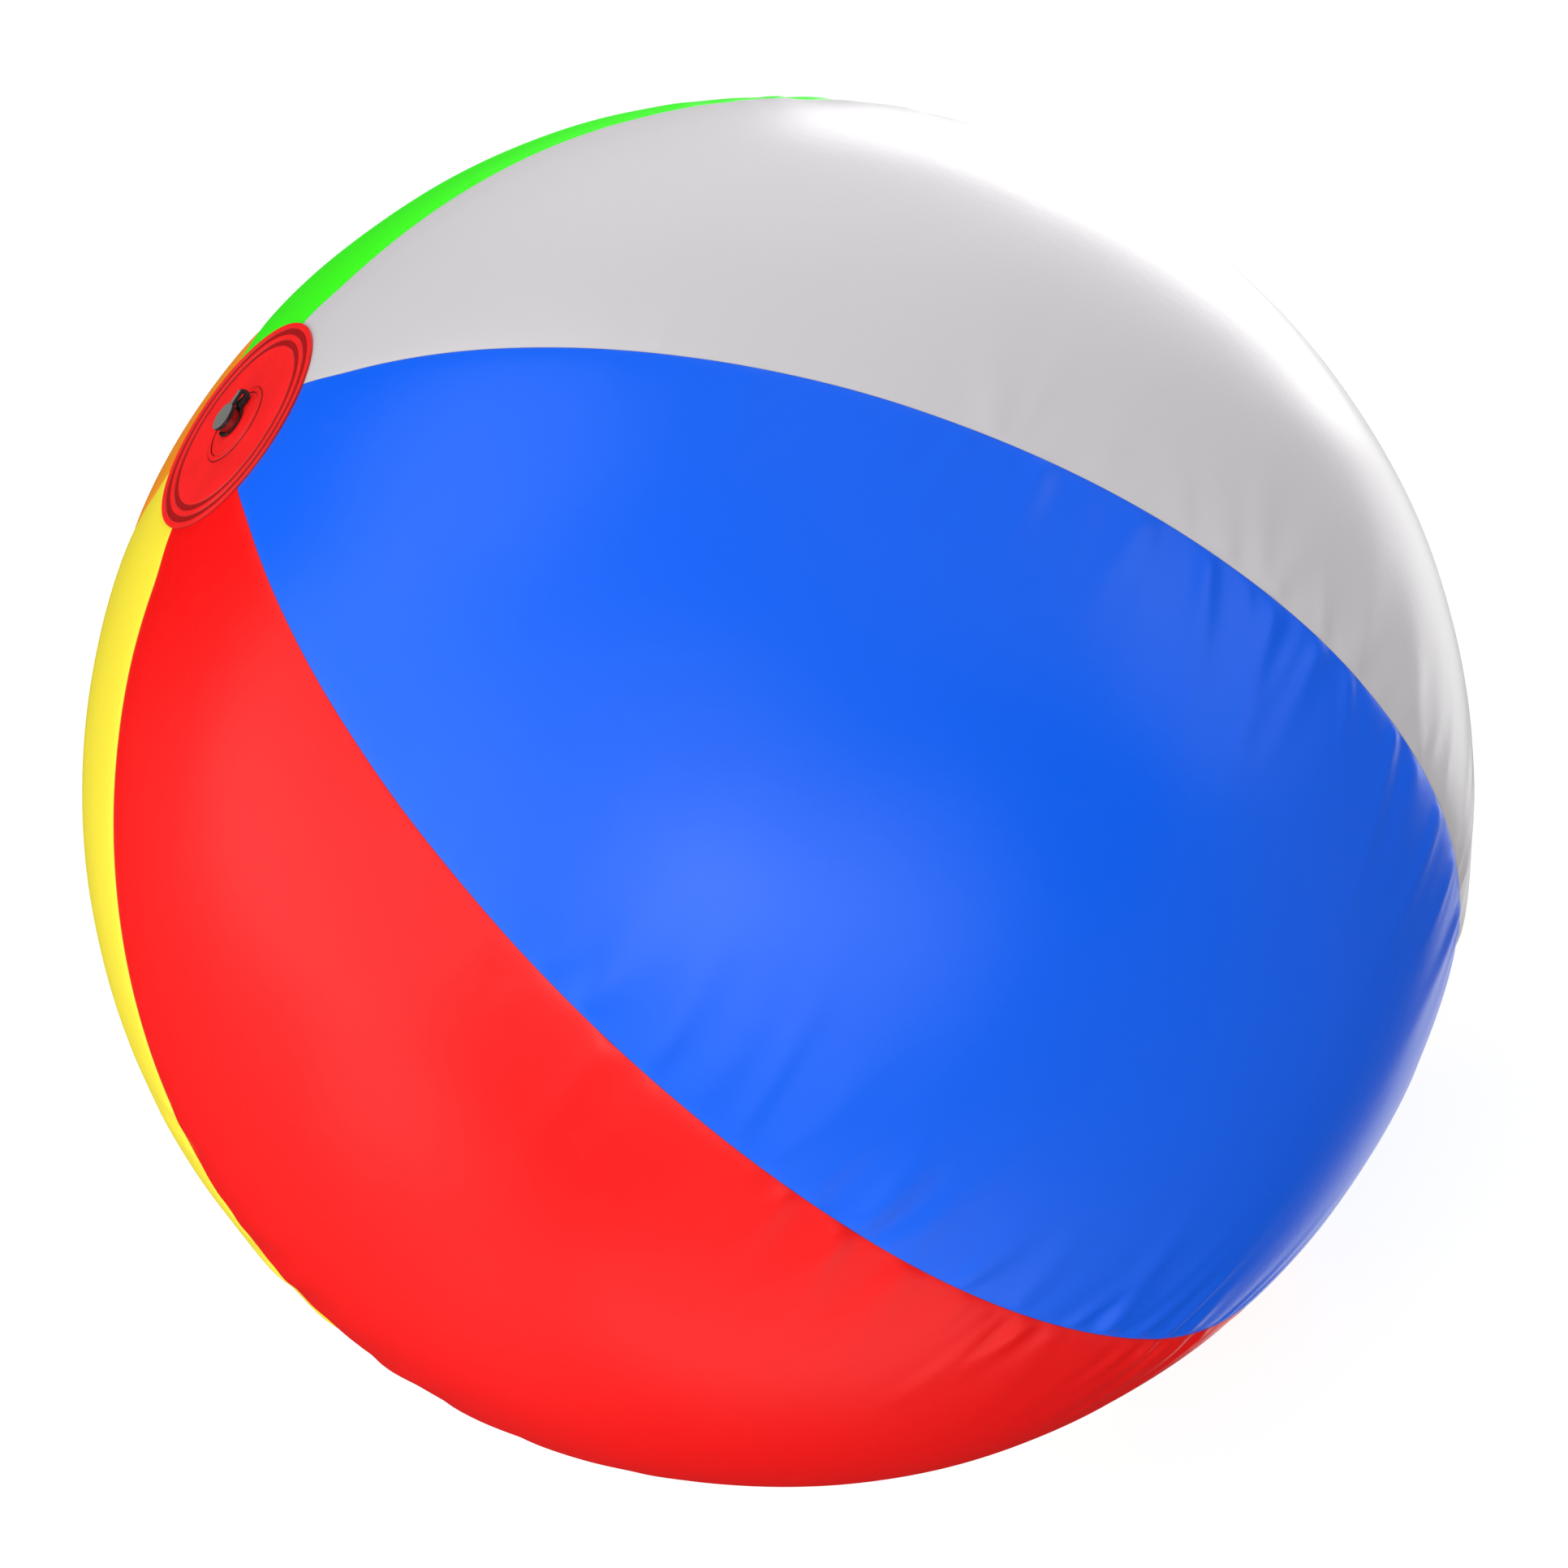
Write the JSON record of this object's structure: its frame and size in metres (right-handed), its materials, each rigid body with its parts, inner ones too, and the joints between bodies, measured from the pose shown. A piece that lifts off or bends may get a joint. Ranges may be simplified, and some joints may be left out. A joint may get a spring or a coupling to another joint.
{
  "type": "inflatable beach ball",
  "caption": "Inflatable beach ball of coloured glossy film panels with welded end discs, a push-in valve and a tethered stopper.",
  "frame": {"origin": "the middle of the inflated ball, on its axis", "axes": "+Z along the ball's axis and out through the valve; +X towards the seam between the white and green panels, where the stopper's strap stands at rest"},
  "size_m": [0.5098, 0.5098, 0.5104],
  "materials": {
    "film_blue": "glossy flexible vinyl film",
    "film_white": "glossy flexible vinyl film",
    "film_green": "glossy flexible vinyl film",
    "film_orange": "glossy flexible vinyl film",
    "film_yellow": "glossy flexible vinyl film",
    "film_red": "glossy flexible vinyl film",
    "disc_red": "glossy flexible vinyl film",
    "valve_red": "soft moulded vinyl, satin",
    "valve_clear": "soft milky moulded vinyl",
    "stopper_grey": "soft moulded vinyl, satin dark grey"
  },
  "bodies": {
    "shell": {"panel_blue": "film_blue", "panel_white": "film_white", "panel_green": "film_green", "panel_orange": "film_orange", "panel_yellow": "film_yellow", "panel_red": "film_red", "valve_end_disc": "disc_red", "plain_end_disc": "disc_red", "valve_flange": "valve_red", "valve_diaphragm": "valve_red"},
    "valve": {"valve_stem": "valve_red", "check_insert": "valve_clear"},
    "flap": {"check_flap": "valve_clear"},
    "collar": {"tether_collar": "stopper_grey", "tether_strap": "stopper_grey"},
    "stopper": {"stopper": "stopper_grey"}
  },
  "joints": [
    {"name": "valve_push", "type": "slide", "parent": "shell", "child": "valve", "axis": [0, 0, -1], "range_m": [0, 0.0048], "deforming": ["valve_diaphragm"]},
    {"name": "flap_open", "type": "hinge", "parent": "valve", "child": "flap", "pos_m": [-0.0042, 0, 0.23778], "axis": [0, 1, 0], "range_deg": [0, 75], "stiffness_Nm_per_rad": 0.0001, "springref_deg": -5.73},
    {"name": "collar_swivel", "type": "hinge", "parent": "valve", "child": "collar", "pos_m": [0, 0, 0.25383], "axis": [0, 0, 1], "continuous": true},
    {"name": "stopper_swing", "type": "hinge", "parent": "collar", "child": "stopper", "pos_m": [0.0101, 0, 0.25587], "axis": [0, 1, 0], "range_deg": [0, 115], "deforming": ["tether_strap"]}
  ]
}
